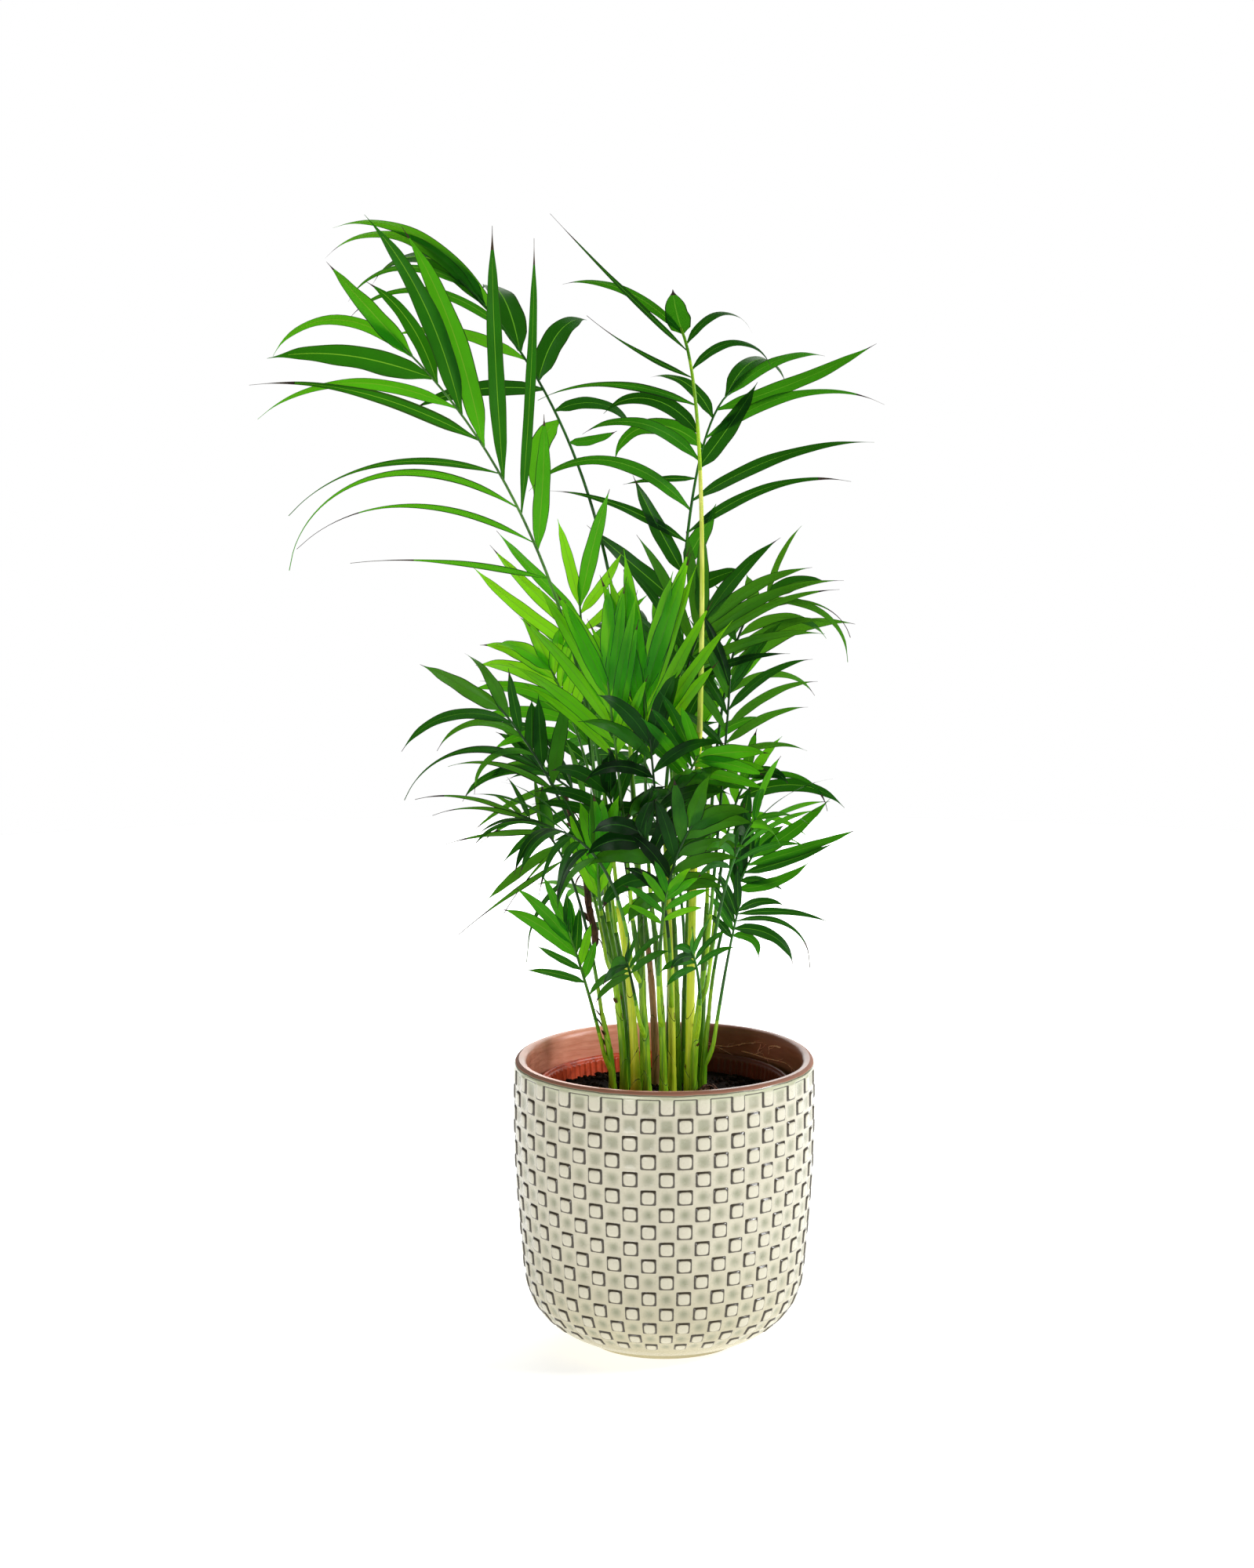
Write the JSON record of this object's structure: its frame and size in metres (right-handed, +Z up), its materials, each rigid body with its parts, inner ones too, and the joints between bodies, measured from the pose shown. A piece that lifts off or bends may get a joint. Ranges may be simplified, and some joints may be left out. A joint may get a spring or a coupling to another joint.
{
  "type": "potted parlour palm",
  "caption": "Young parlour palm with a clump of slim stems and arching feathery fronds, in a round glazed cover pot with a checkered relief.",
  "frame": {"origin": "centre of the planter's flat underside, on the surface it stands on", "axes": "+Z up along the planter's axis, -Y to the side the plant is seen from, +X to that view's right"},
  "size_m": [0.33, 0.2713, 0.6028],
  "materials": {
    "planter_glaze": "gloss",
    "nursery_pot_plastic": "satin",
    "potting_soil": "matte",
    "green_stem": "satin",
    "dry_stalk": "matte",
    "young_leaf": "satin",
    "leaf": "satin",
    "old_leaf": "satin"
  },
  "bodies": {
    "root": {"planter": "planter_glaze", "nursery_pot": "nursery_pot_plastic", "soil": "potting_soil", "stem_a": "green_stem", "stem_b": "green_stem", "stem_c": "green_stem", "stem_d": "green_stem", "stem_e": "green_stem", "stem_f": "green_stem", "stem_g": "green_stem", "stem_h": "green_stem", "stem_i": "green_stem", "stem_j": "green_stem", "stem_k": "green_stem", "stem_l": "green_stem", "stem_m": "green_stem", "stem_n": "green_stem", "stem_o": "green_stem", "stem_p": "green_stem", "stem_q": "green_stem", "dead_stalk": "dry_stalk", "frond_crown_left": "young_leaf", "frond_crown_left_back": "leaf", "frond_crown_right": "leaf", "frond_right_back": "leaf", "frond_middle": "old_leaf", "frond_small_fan": "young_leaf", "frond_right_mid": "old_leaf", "frond_centre_left": "young_leaf", "frond_centre_right": "young_leaf", "frond_left_mid": "old_leaf", "frond_left_back": "old_leaf", "frond_left_low": "old_leaf", "frond_left_lowest": "young_leaf", "frond_right_bright": "young_leaf", "frond_right_low": "leaf", "frond_right_lowest": "leaf", "frond_left_inner": "young_leaf", "frond_centre_back": "leaf", "frond_right_inner": "old_leaf", "frond_right_wing": "leaf", "frond_centre_low_left": "old_leaf", "frond_centre_low_right": "old_leaf", "frond_low_front_left": "old_leaf", "frond_low_front_right": "leaf", "frond_low_centre": "young_leaf", "frond_left_front": "old_leaf", "frond_right_front": "leaf", "frond_middle_back": "leaf", "frond_centre_dark": "old_leaf", "frond_back_high": "leaf", "frond_back_left": "leaf", "frond_back_right": "leaf", "frond_back_low": "leaf", "frond_back_lowest": "leaf", "frond_left_spear": "young_leaf", "frond_inner_left": "old_leaf", "frond_inner_right": "old_leaf"}
  },
  "joints": []
}
